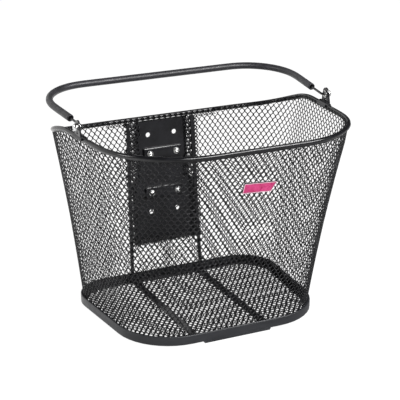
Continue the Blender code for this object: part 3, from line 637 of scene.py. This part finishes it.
class BackWindow:
    """The window behind the back plate, and the parts of the wall round it."""

    def __init__(self):
        plate = tree_of("back_plate")
        plate_low, plate_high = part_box("back_plate")
        self.back_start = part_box("wall_mesh")[1].y - BACK_DEPTH
        self.foot = plate_low.z
        self.step = plate_step_height(plate)
        self.narrow = plate_half_width(plate, self.step + PLATE_INSET) - WINDOW_LAP
        self.wide = plate_high.x - WINDOW_LAP
        self.fold_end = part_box("back_upright_right")[1].x + UPRIGHT_LAP

    def on_back(self, points):
        return points[:, 1] > self.back_start

    def half_width(self, points):
        """Half width of the window at each point's height, 0 below it."""
        half = np.where(points[:, 2] > self.step, self.narrow, self.wide)
        return np.where(points[:, 2] > self.foot + WINDOW_LAP, half, 0.0)

    def outside(self, points):
        return ~(self.on_back(points) & (abs(points[:, 0]) < self.half_width(points)))

    def beside(self, points):
        side = abs(points[:, 0])
        near = (side > self.half_width(points)) & (side < self.fold_end)
        return self.on_back(points) & near & (points[:, 2] > self.foot)

    def below(self, points):
        return self.on_back(points) & (abs(points[:, 0]) < SEAM_HALF) & (points[:, 2] < self.foot)

    def near_plate(self, points):
        near = self.on_back(points) & (abs(points[:, 0]) < BACK_FOLD_HALF)
        return self.outside(points) & near


def off_back(turn):
    """0 along the back, rising to 1 round the corners."""
    from_back = np.minimum(turn % 1.0, 1 - turn % 1.0)
    return np.clip((from_back - BACK_END) / BACK_BLEND + 0.5, 0, 1)


def squared(value):
    """Coordinate on a unit circle pushed outwards, so that the circle becomes squarer."""
    return math.copysign(min(abs(value) * HEM_SQUARENESS, 1.0), value)


def build_hem(surface):
    """Flattened edge of the mesh: a solid band with round edges under the rim wire. Along the
    back it stays inside the wire, where strands show instead."""
    turn = np.arange(RING_SAMPLES) / RING_SAMPLES
    high = surface.rim_edge(turn) + HEM_OVERLAP
    low = surface.rim_edge(turn) - HEM_HEIGHT * off_back(turn)
    middle, half_height = (low + high) / 2, (high - low) / 2
    loops = []
    for k in range(HEM_SIDES):
        angle = math.tau * (k + 0.5) / HEM_SIDES
        up = middle + half_height * squared(math.sin(angle))
        outward = squared(math.cos(angle)) * HEM_THICK / 2
        loops.append(surface.locate(turn, up, -outward)[0])
    mesh = closed_mesh("rim_hem", np.stack(loops, axis=1))
    add_piece(mesh, "basket", "black_coat")


def build_wall(rim_radius):
    """Wall with its window, folds round the plate, lap seam, and strand ends behind the rim."""
    surface = WallSurface()
    window = BackWindow()
    rim = surface.rim_edge

    def foot(turn):
        return np.full(np.shape(turn), surface.foot + FOOT_TRIM)

    def fold_foot(turn):
        return rim(turn) - BACK_FOLD_HEIGHT

    def lap_top(turn):
        return rim(turn) + BACK_LAP_HEIGHT + (LAP_HEIGHT - BACK_LAP_HEIGHT) * off_back(turn)

    def anywhere(points):
        return np.full(len(points), True)

    strands = wall_sheet("wall_strands", surface, window.outside, foot, rim)
    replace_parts(strands, "wall_mesh")
    wall_sheet("window_edge_fold", surface, window.beside, foot, rim,
               inward=LAYER_GAP, shift=0.5, strand=FOLD_STRAND_HALF)
    wall_sheet("back_lap_seam", surface, window.below, foot, rim, inward=LAYER_GAP, shift=0.5)
    wall_sheet("back_rim_fold", surface, window.near_plate, fold_foot, rim,
               inward=LAYER_GAP, shift=0.5)
    wall_sheet("rim_lap", surface, anywhere, rim, lap_top,
               inward=rim_radius + LAYER_GAP / 2, strand=FOLD_STRAND_HALF)
    build_hem(surface)


def build_floor():
    """Expanded-metal floor panel, trimmed to the CAD panel's outline."""
    low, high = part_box("floor_mesh")
    panel = tree_of("floor_mesh")
    middle_z = (low.z + high.z) / 2
    edge_distances = []
    for k in range(RING_SAMPLES):
        angle = math.tau * k / RING_SAMPLES
        outward = Vector((math.cos(angle), math.sin(angle), 0))
        edge_distances.append(panel.ray_cast(Vector((0, 0, middle_z)), outward)[3])

    def edge_distance(x, y):
        """Distance from the origin to the panel's edge in the direction of each point."""
        position = (np.arctan2(y, x) / math.tau % 1.0) * RING_SAMPLES
        return np.interp(position, np.arange(RING_SAMPLES), edge_distances, period=RING_SAMPLES)

    def locate(column, row, is_hole):
        x, y = column * FLOOR_COLUMN, row * FLOOR_ROW
        margin = STRAND_HALF * (2 if is_hole else 1)
        distance = np.maximum(np.hypot(x, y), 1e-6)
        scale = np.minimum(1.0, (edge_distance(x, y) - margin) / distance)
        points = np.stack([x * scale, y * scale, np.full(len(x), middle_z)], axis=1)
        return points, np.tile((0.0, 0.0, 1.0), (len(x), 1))

    columns = math.ceil((high.x - low.x) / FLOOR_COLUMN)
    rows = math.ceil((high.y - low.y) / FLOOR_ROW / 2) + 1
    cells = lattice(-rows, rows, columns) - (columns // 2, 0)
    x, y = cells[:, 0] * FLOOR_COLUMN, cells[:, 1] * FLOOR_ROW
    keep = np.hypot(x, y) < edge_distance(x, y) - FLOOR_EDGE
    shape = hole_shape(FLOOR_COLUMN, FLOOR_ROW, FLOOR_STRAND_HALF)
    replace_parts(expanded_metal("floor_strands", cells[keep], shape, locate), "floor_mesh")


# ---------------------------------------------------------------- finish of the CAD pieces

def finish_cad_nodes():
    """Each CAD node that shows takes its slot's material and smooth shading between creases."""
    slots = {part["node"]: part["material_slot"] for part in frame["record"]["subparts"]}
    for name, obj in NODES.items():
        if obj.hide_render:
            continue
        obj.data.materials.clear()
        obj.data.materials.append(MATERIALS[slots[name]])
        obj.data.shade_smooth()
        weld = obj.modifiers.new("weld", 'WELD')
        weld.merge_threshold = WELD_GAP
        crease = obj.modifiers.new("crease", 'EDGE_SPLIT')
        crease.split_angle = CREASE_ANGLE


def paint_badge():
    """The badge has a pink face inside a paler raised border, and black sides that are painted
    shadow: they give the dark line of shade round the badge.
    """
    badge = NODES["badge"].data
    badge.materials.append(MATERIALS["badge_border"])
    badge.materials.append(MATERIALS["black_plastic"])
    border, sides = 1, 2               # their places in the badge's list of materials
    front = min(badge.polygons, key=lambda face: face.area * face.normal.y).normal
    outermost = max(front.dot(face.center) for face in badge.polygons)
    for face in badge.polygons:
        # painted shadow: faces that don't face the front take black plastic, to draw the dark shade
        # line round the badge
        if front.dot(face.normal) < 0.5:
            face.material_index = sides
        elif front.dot(face.center) > outermost - BADGE_BORDER_STEP:
            face.material_index = border


# ---------------------------------------------------------------- stage, light and camera

def backdrop(tree, position, start, end, front, back, seen):
    """Brightness of the surroundings: seen for the camera's own rays; in reflections it goes
    from front to back while the position goes from start to end towards the left back."""
    nodes, links = tree.nodes, tree.links
    towards = nodes.new("ShaderNodeVectorMath")
    towards.operation = 'DOT_PRODUCT'
    towards.inputs[1].default_value = (-0.6, 0.8, 0)
    links.new(position, towards.inputs[0])
    depth = nodes.new("ShaderNodeMapRange")
    depth.inputs["From Min"].default_value = start
    depth.inputs["From Max"].default_value = end
    depth.inputs["To Min"].default_value = front
    depth.inputs["To Max"].default_value = back
    links.new(towards.outputs["Value"], depth.inputs["Value"])
    rays = nodes.new("ShaderNodeLightPath")
    level = nodes.new("ShaderNodeMapRange")
    level.inputs["To Max"].default_value = seen
    links.new(rays.outputs["Is Camera Ray"], level.inputs["Value"])
    links.new(depth.outputs["Result"], level.inputs["To Min"])
    return level.outputs["Result"]


def build_floor_plane():
    """White floor for the camera. In reflections it is dark in front of the basket and bright
    behind it. From below it is clear."""
    bpy.ops.mesh.primitive_plane_add(size=14, location=(0, 3, -FLOOR_DROP))
    floor = bpy.context.object
    floor.name = "studio_floor"
    finish = Finish("pale_floor")
    finish.set("Base Color", (0.12, 0.12, 0.12, 1))
    finish.set("Roughness", 0.95)
    finish.set("Specular IOR Level", 0.0)
    finish.set("Emission Color", (1, 1, 1, 1))
    nodes, links = finish.nodes, finish.links
    geometry = nodes.new("ShaderNodeNewGeometry")
    brightness = backdrop(finish.material.node_tree, geometry.outputs["Position"],
                          start=-0.1, end=0.15, front=0.25, back=0.9, seen=0.97)
    links.new(brightness, finish.shader.inputs["Emission Strength"])
    clear = nodes.new("ShaderNodeBsdfTransparent")
    from_below = nodes.new("ShaderNodeMixShader")
    links.new(geometry.outputs["Backfacing"], from_below.inputs["Fac"])
    links.new(finish.shader.outputs["BSDF"], from_below.inputs[1])
    links.new(clear.outputs["BSDF"], from_below.inputs[2])
    links.new(from_below.outputs["Shader"], nodes["Material Output"].inputs["Surface"])
    floor.data.materials.append(finish.material)


def build_world():
    """White background for the camera, bright only towards the left back in reflections."""
    world = bpy.data.worlds.new("studio")
    bpy.context.scene.world = world
    world.use_nodes = True
    tree = world.node_tree
    background = tree.nodes["Background"]
    background.inputs["Color"].default_value = (1, 1, 1, 1)
    direction = tree.nodes.new("ShaderNodeTexCoord").outputs["Generated"]
    brightness = backdrop(tree, direction, start=0.55, end=0.85, front=0.03, back=0.9, seen=1.0)
    tree.links.new(brightness, background.inputs["Strength"])


def add_area_light(name, location, size, power):
    light = bpy.data.lights.new(name, 'AREA')
    light.shape = 'RECTANGLE'
    light.size, light.size_y = size
    light.energy = power
    lamp = bpy.data.objects.new(name, light)
    lamp.location = location
    aim = Vector((0, 0, 0.12)) - Vector(location)
    lamp.rotation_euler = aim.to_track_quat('-Z', 'Y').to_euler()
    bpy.context.scene.collection.objects.link(lamp)


def build_lights():
    """A long strip in front for the bright line along the wires, a soft box on the left and a
    small one above the right front."""
    add_area_light("front_softbox", location=(0.6, -1.45, 1.3), size=(2.2, 0.4), power=66)
    add_area_light("left_softbox", location=(-1.9, 0.1, 1.2), size=(0.5, 0.7), power=12)
    add_area_light("edge_light", location=(0.8, -0.7, 1.75), size=(0.6, 0.25), power=4)


def build_camera():
    """Camera to the left of straight on, a little above, far away with a long lens."""
    azimuth, elevation = math.radians(-25.8), math.radians(19.7)
    distance = 1.708
    aim = Vector((-0.0043, 0.0019, 0.1463))
    level = math.cos(elevation)
    away = Vector((math.sin(azimuth) * level, -math.cos(azimuth) * level, math.sin(elevation)))
    data = bpy.data.cameras.new("camera")
    data.lens = 123.3
    camera = bpy.data.objects.new("camera", data)
    camera.location = aim + away * distance
    camera.rotation_euler = (-away).to_track_quat('-Z', 'Y').to_euler()
    bpy.context.scene.collection.objects.link(camera)
    bpy.context.scene.camera = camera
    bpy.context.scene.view_settings.view_transform = 'Standard'


build_wall(rim_radius=build_rim())
build_floor()
build_handle()
finish_cad_nodes()
paint_badge()
build_floor_plane()
build_world()
build_lights()
build_camera()
